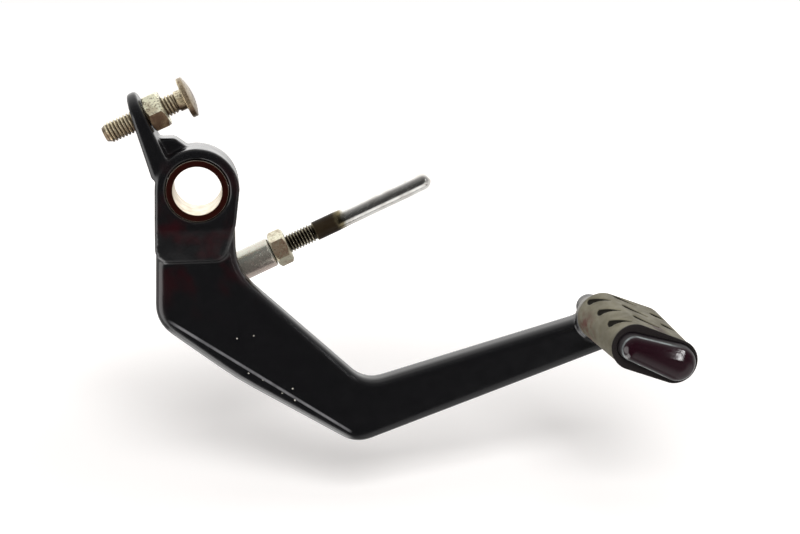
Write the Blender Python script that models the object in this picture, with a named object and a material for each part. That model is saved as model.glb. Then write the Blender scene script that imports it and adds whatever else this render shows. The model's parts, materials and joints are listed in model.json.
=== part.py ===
"""Foot lever of a motorcycle: forged lever on a pivot sleeve, stop bolt, toe rubber and push rod.

Frame: origin on the pivot axis at the middle of the boss, +X towards the toe peg, +Y inboard, +Z up.
"""
import math

import bmesh
import bpy
from mathutils import Matrix, Vector

MM = 0.001

# Clearances
SEAT_GAP = 0.3 * MM          # between pieces that rest on each other
RUNNING_GAP = 0.1 * MM       # radial, between a shaft and its hole

# Pivot
SLEEVE_BORE_R = 7.0 * MM
SLEEVE_WALL = 1.85 * MM
SLEEVE_PROUD = 0.2 * MM      # the sleeve stands out of the boss at each end
BOSS_WALL = 3.1 * MM
BOSS_LENGTH = 16.0 * MM
BOSS_EDGE_R = 0.8 * MM
RING_SECTION_R = 0.75 * MM   # rubber ring that keeps the grease in
RING_FIT = 0.15 * MM
RING_END_OFFSET = 2.6 * MM   # groove centre from the boss face
BORE_CHAMFER = 0.5 * MM

# Raised hub below the boss
HUB_LEFT_X = -13.1 * MM
HUB_RIGHT_X = 7.0 * MM
HUB_BOTTOM_Z = -21.4 * MM
HUB_CORNER_R = 3.6 * MM
HUB_SIDE_X = 10.6 * MM        # the right edge turns inwards here
HUB_SIDE_Z = -10.5 * MM
HUB_SIDE_R = 6.0 * MM
HUB_SLOPE_TOP_Z = -11.0 * MM  # the hub face starts to fall away here
HUB_STEP = 0.9 * MM           # what is left of the step at the hub's lower edge

# Arm: corners of its outline, seen from outboard
ARM_THICKNESS = 8.5 * MM
ARM_EDGE_R = 2.7 * MM
ARM_TOP_LEFT_X = -11.9 * MM
ARM_TOP_RIGHT_X = 10.6 * MM
HEEL_X = -14.1 * MM
HEEL_Z = -40.4 * MM
HEEL_R = 11.0 * MM
BELLY_X = 9.0 * MM
BELLY_Z = -59.2 * MM
BELLY_R = 110.0 * MM
ELBOW_X = 45.6 * MM
ELBOW_Z = -82.9 * MM
ELBOW_R = 10.0 * MM
CROOK_X = 49.0 * MM           # inner corner of the elbow
CROOK_Z = -62.9 * MM
CROOK_R = 9.5 * MM
WAIST_X = 10.2 * MM
WAIST_Z = -25.3 * MM
WAIST_R = 16.0 * MM
ARM_END_BACK = 5.0 * MM       # the arm's lower edge ends here, from the peg's front circle
ARM_END_BELOW = 6.1 * MM
ARM_END_R = 4.0 * MM
NECK_BACK = 5.5 * MM          # the arm's upper edge turns up to the peg here, from its rear circle
NECK_BELOW = 2.5 * MM
NECK_R = 4.0 * MM

# Toe peg: an oval with a small rear end and a larger front end
PEG_FRONT_X = 136.3 * MM
PEG_FRONT_Z = -49.8 * MM
PEG_FRONT_R = 5.5 * MM
PEG_SPAN = 14.82 * MM         # back and up from the front circle's centre to the rear one's
PEG_TILT = math.radians(21.37)
PEG_REAR_R = 4.1 * MM
PEG_LENGTH = 32.8 * MM        # out of the arm's face
PEG_DOME = 2.2 * MM           # height of its domed end
PEG_DOME_INSET = 3.2 * MM     # and how far the dome reaches in
PEG_DROOP = 0.055             # the peg falls and leans forward towards its free end
PEG_LEAN = 0.035
RUBBER_REAR_AHEAD = 1.5 * MM  # the rubber's rear and front circles lie ahead of the peg's
RUBBER_FRONT_AHEAD = 0.5 * MM
RUBBER_DROP = 0.2 * MM        # and below them
RUBBER_REAR_WALL = 2.4 * MM   # its circles are larger by this at the free end
RUBBER_FRONT_WALL = 0.75 * MM
RUBBER_REAR_SWELL = 1.1 * MM  # and larger still at the arm
RUBBER_FRONT_SWELL = 1.5 * MM
RUBBER_FIT = 0.15 * MM
RUBBER_SHORT = 3.2 * MM       # the peg stands out of the rubber
RUBBER_LIP = 0.35 * MM        # swelling at the rubber's open end
RUBBER_LIP_RUN = 2.1 * MM     # length of that swelling
RUBBER_EDGE_R = 0.3 * MM
COLLAR_REAR_WALL = 3.3 * MM   # low collar on the arm, that the rubber ends at
COLLAR_FRONT_WALL = 0.3 * MM
COLLAR_DROP = 1.2 * MM
COLLAR_PROUD = 1.3 * MM
COLLAR_THICKNESS = 2.6 * MM
COLLAR_EDGE_R = 1.0 * MM

# Ear and stop bolt
BOLT_ANGLE = math.radians(23.6)
EAR_X = -15.1 * MM            # middle of the ear's thickness, on the bolt's axis
EAR_Z = 20.2 * MM
EAR_THICKNESS = 4.0 * MM
EAR_WIDTH = 15.4 * MM
EAR_ROOT = 17.0 * MM          # from the bolt's axis down into the boss
EAR_EDGE_R = 0.9 * MM
EAR_TAPER = 0.15              # the ear thickens towards its root on the tip side
WEB_LEFT_X = -11.5 * MM       # hidden in the ear
WEB_RIGHT_X = -5.9 * MM
WEB_FOOT_X = -2.0 * MM        # its slope runs into the boss here
WEB_SINK = 0.6 * MM           # so far under the boss's round
WEB_TOP_Z = 14.4 * MM
WEB_BOTTOM_Z = 3.0 * MM       # hidden in the boss
WEB_WIDTH = 8.5 * MM
WEB_CORNER_R = 1.2 * MM
THREAD_R = 3.0 * MM           # M6
THREAD_PITCH = 1.0 * MM
THREAD_DEPTH = 0.6 * MM
NUT_ACROSS_FLATS = 10.0 * MM
NUT_THICKNESS = 5.0 * MM
NUT_CHAMFER = 0.35 * MM
BOLT_TIP = 9.3 * MM           # out of the ear's tip side
BOLT_GRIP = 25.0 * MM         # from the tip to the head
BOLT_SHOULDER = 2.2 * MM      # plain length under the head
BOLT_HEAD_R = 6.0 * MM
BOLT_HEAD_RIM = 1.6 * MM
BOLT_HEAD_DOME = 1.1 * MM
BOLT_POINT = 0.6 * MM         # chamfer at the tip

# Push rod joint behind the lever
ROD_ANGLE = math.radians(23.9)
PIN_X = 2.2 * MM
PIN_Z = -33.3 * MM
PIN_R = 3.5 * MM
PIN_SEAT = 9.0 * MM           # depth of the pin's hole in the lever
PIN_BOSS_R = 6.5 * MM
PIN_BOSS_LENGTH = 8.8 * MM    # out of the arm's back
EYE_R = 7.0 * MM
EYE_WIDTH = 10.4 * MM
EYE_CHAMFER = 0.6 * MM
WASHER_R = 6.5 * MM
WASHER_THICKNESS = 1.0 * MM
PIN_TAIL = 3.6 * MM           # pin beyond the washer
PIN_CHAMFER = 0.6 * MM
WIRE_R = 0.45 * MM            # split pin
WIRE_SPACING = 0.6 * MM       # each leg from the hole's centre
SPLIT_HOLE_FIT = 0.15 * MM
SPLIT_LOOP_R = 1.5 * MM
SPLIT_LEG = 2.6 * MM          # bent length of each leg
SPLIT_BEND_R = 1.1 * MM
SPLIT_BEND = math.radians(115.0)
BARREL_R = 4.75 * MM
BARREL_END = 21.6 * MM        # from the pin's axis
BARREL_CHAMFER = 0.5 * MM
ROD_START = 13.5 * MM         # end of the rod inside the barrel
ROD_THREAD_END = 36.5 * MM
ROD_NECK_R = 3.1 * MM
ROD_NECK_END = 43.7 * MM
ROD_SHAFT_R = 3.0 * MM
ROD_TIP_R = 2.9 * MM
ROD_TIP_LENGTH = 4.5 * MM
ROD_END = 77.0 * MM
ROD_HOLE_SPARE = 5.0 * MM     # free depth behind the rod for adjustment

# Fineness of the round shapes
TURN_STEPS = 40
BORE_STEPS = 64
THREAD_STEPS = 14
RINGS_PER_PITCH = 4
FILLET_STEP = math.radians(11.0)
EDGE_STEPS = 4
OVAL_STEPS = 22
WIRE_STEPS = 8
SPLIT_HOLE_STEPS = 16
BEND_STEPS = 4
LOOP_STEPS = 14
RING_SIDES = 10
DOME_STEPS = 3
NOSE_STEPS = 5

# Sizes that follow from the ones above
SLEEVE_R = SLEEVE_BORE_R + SLEEVE_WALL
LEVER_BORE_R = SLEEVE_R + RUNNING_GAP
BOSS_R = LEVER_BORE_R + BOSS_WALL
BOSS_FACE_Y = BOSS_LENGTH / 2
ARM_FACE_Y = ARM_THICKNESS / 2
PEG_REAR_X = PEG_FRONT_X - PEG_SPAN * math.cos(PEG_TILT)
PEG_REAR_Z = PEG_FRONT_Z + PEG_SPAN * math.sin(PEG_TILT)
PEG_END_Y = -ARM_FACE_Y - PEG_LENGTH
COLLAR_Y = -ARM_FACE_Y - COLLAR_PROUD
EAR_FACE = EAR_THICKNESS / 2
NUT_START = EAR_FACE + SEAT_GAP
BOLT_TIP_AT = -EAR_FACE - BOLT_TIP
BOLT_HEAD_AT = BOLT_TIP_AT + BOLT_GRIP
THREAD_HOLE_R = THREAD_R + RUNNING_GAP
PIN_BOSS_Y = ARM_FACE_Y + PIN_BOSS_LENGTH
EYE_Y = PIN_BOSS_Y + SEAT_GAP + EYE_WIDTH / 2
WASHER_Y = EYE_Y + EYE_WIDTH / 2 + SEAT_GAP
PIN_END_Y = WASHER_Y + WASHER_THICKNESS + SEAT_GAP + PIN_TAIL
SPLIT_HOLE_R = WIRE_SPACING + WIRE_R + SPLIT_HOLE_FIT
SPLIT_Y = WASHER_Y + WASHER_THICKNESS + SEAT_GAP + SPLIT_HOLE_R
ROD_NUT_START = BARREL_END + SEAT_GAP


def clear_scene():
    for item in list(bpy.data.objects):
        bpy.data.objects.remove(item, do_unlink=True)


def make_material(name, colour, roughness, metallic):
    material = bpy.data.materials.new(name)
    material.use_nodes = True
    shader = material.node_tree.nodes["Principled BSDF"]
    shader.inputs["Base Color"].default_value = (*colour, 1.0)
    shader.inputs["Roughness"].default_value = roughness
    shader.inputs["Metallic"].default_value = metallic
    return material


def make_object(name, mesh_points, faces, material=None):
    mesh = bpy.data.meshes.new(name)
    mesh.from_pydata([tuple(p) for p in mesh_points], [], faces)
    edit = bmesh.new()
    edit.from_mesh(mesh)
    bmesh.ops.recalc_face_normals(edit, faces=edit.faces)
    edit.to_mesh(mesh)
    edit.free()
    item = bpy.data.objects.new(name, mesh)
    bpy.context.scene.collection.objects.link(item)
    if material:
        mesh.materials.append(material)
    return item


def as_tool(item):
    """A shape that only adds to or cuts another one."""
    item.hide_render = True
    item.display_type = "WIRE"
    return item


def combine(item, tool, operation):
    change = item.modifiers.new(operation.lower() + "_" + tool.name, "BOOLEAN")
    change.operation = operation
    change.solver = "EXACT"
    change.object = as_tool(tool)


def shade(item, angle=35.0):
    item.data.shade_smooth()
    item.data.set_sharp_from_angle(angle=math.radians(angle))


def make_axis(name, place, angle):
    """An empty whose local X points forward and up by the angle, turned about Y."""
    axis = bpy.data.objects.new(name, None)
    bpy.context.scene.collection.objects.link(axis)
    axis.location = place
    axis.rotation_euler = (0.0, -angle, 0.0)
    return axis


def attach(item, axis):
    item.parent = axis
    return item


def rounded_outline(corners):
    """Points of a polygon whose corners (x, z, radius) are arcs."""
    points = []
    count = len(corners)
    for i, (x, z, radius) in enumerate(corners):
        here = Vector((x, z))
        before = Vector(corners[i - 1][:2]) - here
        after = Vector(corners[(i + 1) % count][:2]) - here
        if radius <= 0.0:
            points.append(here)
            continue
        before.normalize()
        after.normalize()
        half = before.angle(after) / 2
        middle = (before + after).normalized()
        centre = here + middle * (radius / math.sin(half))
        start = here + before * (radius / math.tan(half)) - centre
        turn = start.angle_signed(here + after * (radius / math.tan(half)) - centre)
        steps = max(2, round(abs(turn) / FILLET_STEP))
        for k in range(steps + 1):
            angle = -turn * k / steps
            spin = Matrix.Rotation(angle, 2)
            points.append(centre + spin @ start)
    return points


def oval_outline(rear_wall=0.0, front_wall=0.0, rear_ahead=0.0, front_ahead=0.0, drop=0.0):
    """Section of the toe peg, or of what lies round it: two unlike circles joined by their tangents."""
    rear = Vector((PEG_REAR_X, PEG_REAR_Z))
    front = Vector((PEG_FRONT_X, PEG_FRONT_Z))
    ahead = (front - rear).normalized()
    below = Vector((ahead.y, -ahead.x)) * drop
    rear += ahead * rear_ahead + below
    front += ahead * front_ahead + below
    along = front - rear
    heading = math.atan2(along.y, along.x)
    rear_r = PEG_REAR_R + rear_wall
    front_r = PEG_FRONT_R + front_wall
    lean = math.acos((rear_r - front_r) / along.length)
    steps = OVAL_STEPS // 2
    points = []
    for centre, radius, start, turn in (
        (front, front_r, heading - lean, 2 * lean),
        (rear, rear_r, heading + lean, 2 * (math.pi - lean)),
    ):
        for k in range(steps + 1):
            angle = start + turn * k / steps
            points.append(centre + radius * Vector((math.cos(angle), math.sin(angle))))
    return points


def droop(item):
    """Slants a piece of the peg: its free end stays, the end at the arm moves up and back."""
    for vertex in item.data.vertices:
        reach = vertex.co.y - PEG_END_Y
        vertex.co.x -= PEG_LEAN * reach
        vertex.co.z += PEG_DROOP * reach
    return item


def inset(points, amount):
    """The outline moved inwards by an amount, point for point."""
    area = sum(a.x * b.y - b.x * a.y for a, b in zip(points, points[1:] + points[:1]))
    side = 1.0 if area > 0 else -1.0
    moved = []
    for i, here in enumerate(points):
        into = (here - points[i - 1]).normalized()
        out = (points[(i + 1) % len(points)] - here).normalized()
        normal = Vector((-into.y - out.y, into.x + out.x)) * side
        normal.normalize()
        reach = amount / normal.dot(Vector((-into.y, into.x)) * side)
        moved.append(here + normal * reach)
    return moved


def loft(name, rings, material=None, closed=False):
    """Skin over rings of equal length, with end caps, or bent round on itself."""
    count = len(rings[0])
    points = [p for ring in rings for p in ring]
    faces = []
    pairs = len(rings) if closed else len(rings) - 1
    for r in range(pairs):
        a, b = r * count, (r + 1) % len(rings) * count
        for i in range(count):
            j = (i + 1) % count
            faces.append((a + i, a + j, b + j, b + i))
    if not closed:
        faces.append(tuple(range(count)))
        faces.append(tuple(range(len(points) - count, len(points))))
    return make_object(name, points, faces, material)


def plate(name, outline, low, high, edge_low, edge_high, material=None, inset_low=None):
    """An outline in X and Z, thick along Y, with rounded edges on either face."""
    reach = edge_low if inset_low is None else inset_low
    rings = []
    for k in range(EDGE_STEPS + 1):
        turn = math.pi / 2 * k / EDGE_STEPS
        rings.append((low + edge_low * (1 - math.sin(turn)), reach * (1 - math.cos(turn))))
    rings.reverse()
    for k in range(EDGE_STEPS + 1):
        turn = math.pi / 2 * k / EDGE_STEPS
        rings.append((high - edge_high * (1 - math.sin(turn)), edge_high * (1 - math.cos(turn))))
    rings = sorted(set(rings))
    skins = [[Vector((p.x, y, p.y)) for p in inset(outline, depth)] for y, depth in rings]
    return loft(name, skins, material)


def circle(place, radius, steps=TURN_STEPS):
    """Ring of points about the local X axis; a radius may vary with the angle."""
    ring = []
    for i in range(steps):
        angle = 2 * math.pi * i / steps
        r = radius(angle) if callable(radius) else radius
        ring.append(Vector((place, r * math.cos(angle), r * math.sin(angle))))
    return ring


def turned(name, profile, material=None, steps=TURN_STEPS, closed=False):
    """A profile of (place, radius) turned about the local X axis."""
    return loft(name, [circle(x, r, steps) for x, r in profile], material, closed)


def about_y(item, x, z):
    """Stands a piece turned about X upright on the Y axis through (x, z)."""
    item.rotation_euler = (0.0, 0.0, math.pi / 2)
    item.location = (x, 0.0, z)
    return item


def thread(start, end):
    """Profile of a right-hand thread from start to end, fading out at both ends."""
    count = round((end - start) / THREAD_PITCH * RINGS_PER_PITCH)
    profile = []
    for k in range(count + 1):
        place = start + (end - start) * k / count
        fade = min(1.0, (place - start) / THREAD_PITCH, (end - place) / THREAD_PITCH)

        def radius(angle, place=place, fade=fade):
            phase = (place / THREAD_PITCH - angle / (2 * math.pi)) % 1.0
            return THREAD_R - THREAD_DEPTH * max(1.0 - abs(2.0 * phase - 1.0), 1.0 - fade)

        profile.append((place, radius))
    return profile


def box(name, low, high):
    ends = list(zip(low, high))
    corners = [Vector((x, y, z)) for x in ends[0] for y in ends[1] for z in ends[2]]
    faces = [(0, 1, 3, 2), (4, 6, 7, 5), (0, 4, 5, 1), (2, 3, 7, 6), (0, 2, 6, 4), (1, 5, 7, 3)]
    return make_object(name, corners, faces)


def hub_outline():
    """Boss circle running down into a raised block."""
    points = []
    steps = TURN_STEPS // 2
    for k in range(steps + 1):
        angle = math.pi * k / steps
        points.append((BOSS_R * math.cos(angle), BOSS_R * math.sin(angle), 0.0))
    points.append((HUB_LEFT_X, HUB_BOTTOM_Z, HUB_CORNER_R))
    points.append((HUB_RIGHT_X, HUB_BOTTOM_Z, HUB_CORNER_R))
    points.append((HUB_SIDE_X, HUB_SIDE_Z, HUB_SIDE_R))
    return rounded_outline(points)


def arm_outline():
    rise = PEG_DROOP * PEG_LENGTH
    back = PEG_LEAN * PEG_LENGTH
    front_x, front_z = PEG_FRONT_X - back, PEG_FRONT_Z + rise
    rear_x, rear_z = PEG_REAR_X - back, PEG_REAR_Z + rise
    return rounded_outline([
        (ARM_TOP_RIGHT_X, 0.0, 0.0),
        (ARM_TOP_LEFT_X, 0.0, 0.0),
        (HEEL_X, HEEL_Z, HEEL_R),
        (BELLY_X, BELLY_Z, BELLY_R),
        (ELBOW_X, ELBOW_Z, ELBOW_R),
        (front_x - ARM_END_BACK, front_z - ARM_END_BELOW, ARM_END_R),
        (front_x, front_z, 0.0),
        (rear_x, rear_z, 0.0),
        (rear_x - NECK_BACK, rear_z - NECK_BELOW, NECK_R),
        (CROOK_X, CROOK_Z, CROOK_R),
        (WAIST_X, WAIST_Z, WAIST_R),
    ])


def make_hub():
    hub = plate("hub", hub_outline(), -BOSS_FACE_Y, BOSS_FACE_Y, BOSS_EDGE_R, BOSS_EDGE_R)
    drop = BOSS_FACE_Y - ARM_FACE_Y - HUB_STEP
    run = HUB_SLOPE_TOP_Z - HUB_BOTTOM_Z
    lean = math.atan2(drop, run)
    reach = BOSS_LENGTH + run
    for side in (-1, 1):
        ramp = box("hub_ramp", (-reach, -reach, -reach), (reach, 0.0, 0.0))
        if side > 0:
            ramp.rotation_euler = (0.0, 0.0, math.pi)
        ramp.rotation_euler[0] = lean
        ramp.location = (0.0, side * BOSS_FACE_Y, HUB_SLOPE_TOP_Z)
        combine(hub, ramp, "DIFFERENCE")
    return hub


def make_ear():
    """Tab for the stop bolt, square to the bolt, with a round end about its hole."""
    half = EAR_WIDTH / 2
    outline = [Vector((half, -EAR_ROOT)), Vector((half, 0.0))]
    steps = TURN_STEPS // 2
    for k in range(1, steps):
        angle = math.pi * k / steps
        outline.append(Vector((half * math.cos(angle), half * math.sin(angle))))
    outline += [Vector((-half, 0.0)), Vector((-half, -EAR_ROOT))]
    ear = plate("ear", outline, -EAR_FACE, EAR_FACE, EAR_EDGE_R, EAR_EDGE_R)
    for vertex in ear.data.vertices:
        across, through, up = vertex.co
        if through < 0.0:
            through *= 1.0 - EAR_TAPER * up / EAR_FACE
        vertex.co = (through, across, up)
    ear.data.flip_normals()
    return ear


def make_web():
    outline = rounded_outline([
        (WEB_FOOT_X, WEB_BOTTOM_Z, 0.0),
        (WEB_FOOT_X, BOSS_R - WEB_SINK, 0.0),
        (WEB_RIGHT_X, WEB_TOP_Z, WEB_CORNER_R),
        (WEB_LEFT_X, WEB_TOP_Z, 0.0),
        (WEB_LEFT_X, WEB_BOTTOM_Z, 0.0),
    ])
    edge = BOSS_EDGE_R
    return plate("web", outline, BOSS_FACE_Y - edge - WEB_WIDTH, BOSS_FACE_Y - edge, edge, edge)


def make_lever(material, bolt_axis):
    lever = plate("lever_body", arm_outline(), -ARM_FACE_Y, ARM_FACE_Y, ARM_EDGE_R, ARM_EDGE_R, material)
    combine(lever, make_hub(), "UNION")
    combine(lever, attach(make_ear(), bolt_axis), "UNION")
    combine(lever, make_web(), "UNION")
    root_y = ARM_FACE_Y - RUBBER_FIT
    peg = plate("peg", oval_outline(), PEG_END_Y, root_y, PEG_DOME, ARM_EDGE_R, inset_low=PEG_DOME_INSET)
    combine(lever, droop(peg), "UNION")
    outline = oval_outline(
        COLLAR_REAR_WALL, COLLAR_FRONT_WALL, RUBBER_REAR_AHEAD, RUBBER_FRONT_AHEAD, COLLAR_DROP)
    collar_end = COLLAR_Y + COLLAR_THICKNESS
    collar = plate("collar", outline, COLLAR_Y, collar_end, COLLAR_EDGE_R, COLLAR_EDGE_R)
    combine(lever, droop(collar), "UNION")
    pin_boss = turned("pin_boss", [
        (0.0, PIN_BOSS_R),
        (PIN_BOSS_Y - EYE_CHAMFER, PIN_BOSS_R),
        (PIN_BOSS_Y, PIN_BOSS_R - EYE_CHAMFER),
    ])
    combine(lever, about_y(pin_boss, PIN_X, PIN_Z), "UNION")

    over = BOSS_FACE_Y + BORE_CHAMFER
    groove = BOSS_FACE_Y - RING_END_OFFSET
    half = RING_SECTION_R + RING_FIT
    deep = SLEEVE_R + 2 * (RING_SECTION_R + RING_FIT)
    profile = [(-over, LEVER_BORE_R + 2 * BORE_CHAMFER), (-over + 2 * BORE_CHAMFER, LEVER_BORE_R)]
    for middle in (-groove, groove):
        profile += [(middle - half, LEVER_BORE_R), (middle - half, deep)]
        profile += [(middle + half, deep), (middle + half, LEVER_BORE_R)]
    profile += [(over - 2 * BORE_CHAMFER, LEVER_BORE_R), (over, LEVER_BORE_R + 2 * BORE_CHAMFER)]
    bore = turned("pivot_bore", profile, steps=BORE_STEPS)
    combine(lever, about_y(bore, 0.0, 0.0), "DIFFERENCE")
    reach = EAR_THICKNESS + EAR_ROOT
    bolt_hole = turned("bolt_hole", [(-reach, THREAD_HOLE_R), (EAR_THICKNESS, THREAD_HOLE_R)])
    combine(lever, attach(bolt_hole, bolt_axis), "DIFFERENCE")
    pin_hole = turned("pin_hole", [
        (PIN_BOSS_Y - PIN_SEAT, PIN_R + RUNNING_GAP),
        (PIN_BOSS_Y + PIN_SEAT, PIN_R + RUNNING_GAP),
    ])
    combine(lever, about_y(pin_hole, PIN_X, PIN_Z), "DIFFERENCE")
    shade(lever)
    return lever


def make_sleeve(material):
    end = BOSS_FACE_Y + SLEEVE_PROUD
    profile = [(-end, SLEEVE_BORE_R), (-end, SLEEVE_R), (end, SLEEVE_R), (end, SLEEVE_BORE_R)]
    sleeve = turned("pivot_sleeve", profile, material, BORE_STEPS, closed=True)
    shade(about_y(sleeve, 0.0, 0.0))


def make_grease_ring(name, side, material):
    profile = []
    for k in range(RING_SIDES):
        angle = 2 * math.pi * k / RING_SIDES
        middle = SLEEVE_R + RING_FIT + RING_SECTION_R
        profile.append((RING_SECTION_R * math.cos(angle), middle + RING_SECTION_R * math.sin(angle)))
    ring = turned(name, profile, material, closed=True)
    about_y(ring, 0.0, 0.0)
    ring.location.y = side * (BOSS_FACE_Y - RING_END_OFFSET)
    shade(ring, 80.0)


def make_toe_rubber(material):
    """Oval sleeve over the peg, a little swollen at its open end."""
    rear = COLLAR_Y - SEAT_GAP
    front = PEG_END_Y + RUBBER_SHORT
    lip = front + RUBBER_LIP_RUN
    edge = RUBBER_EDGE_R
    # Outer skin from the arm to the open end: place along the peg, and how far out of the wall
    skin = [
        (rear, -edge),
        (rear - edge, 0.0),
        (lip + edge, 0.0),
        (lip, RUBBER_LIP),
        (front + edge, RUBBER_LIP),
        (front, RUBBER_LIP - edge),
    ]
    rings = []
    for y, out in skin:
        share = (y - front) / (rear - front)
        outline = oval_outline(
            RUBBER_REAR_WALL + RUBBER_REAR_SWELL * share + out,
            RUBBER_FRONT_WALL + RUBBER_FRONT_SWELL * share + out,
            RUBBER_REAR_AHEAD, RUBBER_FRONT_AHEAD, RUBBER_DROP)
        rings.append([Vector((p.x, y, p.y)) for p in outline])
    bore = oval_outline(RUBBER_FIT, RUBBER_FIT)
    for y in (front, rear):
        rings.append([Vector((p.x, y, p.y)) for p in bore])
    shade(droop(loft("toe_rubber", rings, material, closed=True)), 50.0)


def make_nut(name, start, material):
    """Hexagon nut along local X, chamfered at both ends, with a clearance hole."""
    corner = NUT_ACROSS_FLATS / math.sqrt(3)
    end = start + NUT_THICKNESS
    nut = turned(name, [(start, corner), (end, corner)], material, steps=6)
    round_r = NUT_ACROSS_FLATS / 2
    slope = (corner - round_r) / NUT_CHAMFER
    spare = NUT_CHAMFER
    envelope = turned(name + "_chamfer", [
        (start - spare, round_r - slope * spare),
        (start + 2 * NUT_CHAMFER, round_r + slope * 2 * NUT_CHAMFER),
        (end - 2 * NUT_CHAMFER, round_r + slope * 2 * NUT_CHAMFER),
        (end + spare, round_r - slope * spare),
    ])
    combine(nut, envelope, "INTERSECT")
    hole = turned(name + "_hole", [
        (start - NUT_THICKNESS, THREAD_HOLE_R),
        (end + NUT_THICKNESS, THREAD_HOLE_R),
    ])
    combine(nut, hole, "DIFFERENCE")
    shade(nut)
    return nut, envelope, hole


def make_stop_bolt(material, bolt_axis):
    root = THREAD_R - THREAD_DEPTH
    head = BOLT_HEAD_AT
    shoulder = head - BOLT_SHOULDER
    profile = [(BOLT_TIP_AT, root - BOLT_POINT / 2)]
    profile += thread(BOLT_TIP_AT + BOLT_POINT, shoulder - BOLT_POINT)
    profile += [(shoulder, THREAD_R), (head, THREAD_R)]
    profile += [(head, BOLT_HEAD_R), (head + BOLT_HEAD_RIM, BOLT_HEAD_R)]
    for k in range(1, DOME_STEPS + 1):
        turn = math.pi / 2 * k / (DOME_STEPS + 1)
        rise = BOLT_HEAD_DOME * math.sin(turn)
        profile.append((head + BOLT_HEAD_RIM + rise, BOLT_HEAD_R * math.cos(turn)))
    bolt = turned("stop_bolt", profile, material, THREAD_STEPS)
    shade(attach(bolt, bolt_axis))


def make_rod_joint(material, rod_axis):
    """Barrel that takes the rod, with an eye for the joint pin."""
    half = EYE_WIDTH / 2
    eye = turned("push_rod_joint", [
        (-half, EYE_R - EYE_CHAMFER),
        (-half + EYE_CHAMFER, EYE_R),
        (half - EYE_CHAMFER, EYE_R),
        (half, EYE_R - EYE_CHAMFER),
    ], material)
    for vertex in eye.data.vertices:
        along, across, up = vertex.co
        vertex.co = (-across, along, up)
    barrel = turned("barrel", [
        (0.0, BARREL_R),
        (BARREL_END - BARREL_CHAMFER, BARREL_R),
        (BARREL_END, BARREL_R - BARREL_CHAMFER),
    ])
    combine(eye, attach(barrel, rod_axis), "UNION")
    rod_hole = turned("rod_hole", [
        (ROD_START - ROD_HOLE_SPARE, THREAD_HOLE_R),
        (BARREL_END + ROD_HOLE_SPARE, THREAD_HOLE_R),
    ])
    combine(eye, attach(rod_hole, rod_axis), "DIFFERENCE")
    pin_hole = turned("eye_hole", [(-EYE_WIDTH, PIN_R + RUNNING_GAP), (EYE_WIDTH, PIN_R + RUNNING_GAP)])
    pin_hole.rotation_euler = (0.0, 0.0, math.pi / 2)
    combine(eye, attach(pin_hole, rod_axis), "DIFFERENCE")
    shade(attach(eye, rod_axis))


def make_push_rod(material, rod_axis):
    root = THREAD_R - THREAD_DEPTH
    nose = ROD_TIP_R
    tip = ROD_END - ROD_TIP_LENGTH
    profile = [(ROD_START, root), (BARREL_END - THREAD_PITCH, root)]
    profile += thread(BARREL_END, ROD_THREAD_END - BARREL_CHAMFER)
    profile += [(ROD_THREAD_END, ROD_NECK_R), (ROD_NECK_END, ROD_NECK_R)]
    profile += [(ROD_NECK_END + ROD_NECK_R, ROD_SHAFT_R), (tip - ROD_SHAFT_R, ROD_SHAFT_R)]
    profile += [(tip, nose), (ROD_END - nose, nose)]
    for k in range(1, NOSE_STEPS):
        turn = math.pi / 2 * k / NOSE_STEPS
        profile.append((ROD_END - nose + nose * math.sin(turn), nose * math.cos(turn)))
    rod = turned("push_rod", profile, material, THREAD_STEPS)
    shade(attach(rod, rod_axis))


def make_joint_pin(material):
    start = PIN_BOSS_Y - PIN_SEAT + SEAT_GAP
    pin = turned("joint_pin", [
        (start, PIN_R - PIN_CHAMFER),
        (start + PIN_CHAMFER, PIN_R),
        (PIN_END_Y - PIN_CHAMFER, PIN_R),
        (PIN_END_Y, PIN_R - PIN_CHAMFER),
    ], material)
    about_y(pin, PIN_X, PIN_Z)
    reach = 2 * PIN_R
    hole = turned("split_hole", [(-reach, SPLIT_HOLE_R), (reach, SPLIT_HOLE_R)], steps=SPLIT_HOLE_STEPS)
    hole.rotation_euler = (0.0, math.pi / 2, 0.0)
    hole.location = (PIN_X, SPLIT_Y, PIN_Z)
    combine(pin, hole, "DIFFERENCE")
    shade(pin)


def make_joint_washer(material):
    end = WASHER_Y + WASHER_THICKNESS
    bore = PIN_R + RUNNING_GAP
    profile = [(WASHER_Y, bore), (WASHER_Y, WASHER_R), (end, WASHER_R), (end, bore)]
    washer = turned("joint_washer", profile, material, closed=True)
    shade(about_y(washer, PIN_X, PIN_Z))


def split_pin_path():
    """One wire: a leg, the loop above the pin, and the other leg, seen along Y."""
    clear = PIN_R + SEAT_GAP + WIRE_R
    loop_centre = clear + SPLIT_LOOP_R
    leg = []
    for k in range(BEND_STEPS + 1):
        turn = SPLIT_BEND * k / BEND_STEPS
        aside = SPLIT_BEND_R * (1 - math.cos(turn))
        leg.append((WIRE_SPACING + aside, -clear - SPLIT_BEND_R * math.sin(turn)))
    out = (math.sin(SPLIT_BEND), -math.cos(SPLIT_BEND))
    leg.append((leg[-1][0] + SPLIT_LEG * out[0], leg[-1][1] + SPLIT_LEG * out[1]))
    leg.reverse()
    gap = math.asin(WIRE_SPACING / SPLIT_LOOP_R)
    loop = []
    for k in range(LOOP_STEPS + 1):
        angle = -math.pi / 2 + gap + (2 * math.pi - 2 * gap) * k / LOOP_STEPS
        loop.append((SPLIT_LOOP_R * math.cos(angle), loop_centre + SPLIT_LOOP_R * math.sin(angle)))
    other = [(-x, z) for x, z in reversed(leg)]
    return leg + loop + other


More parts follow.
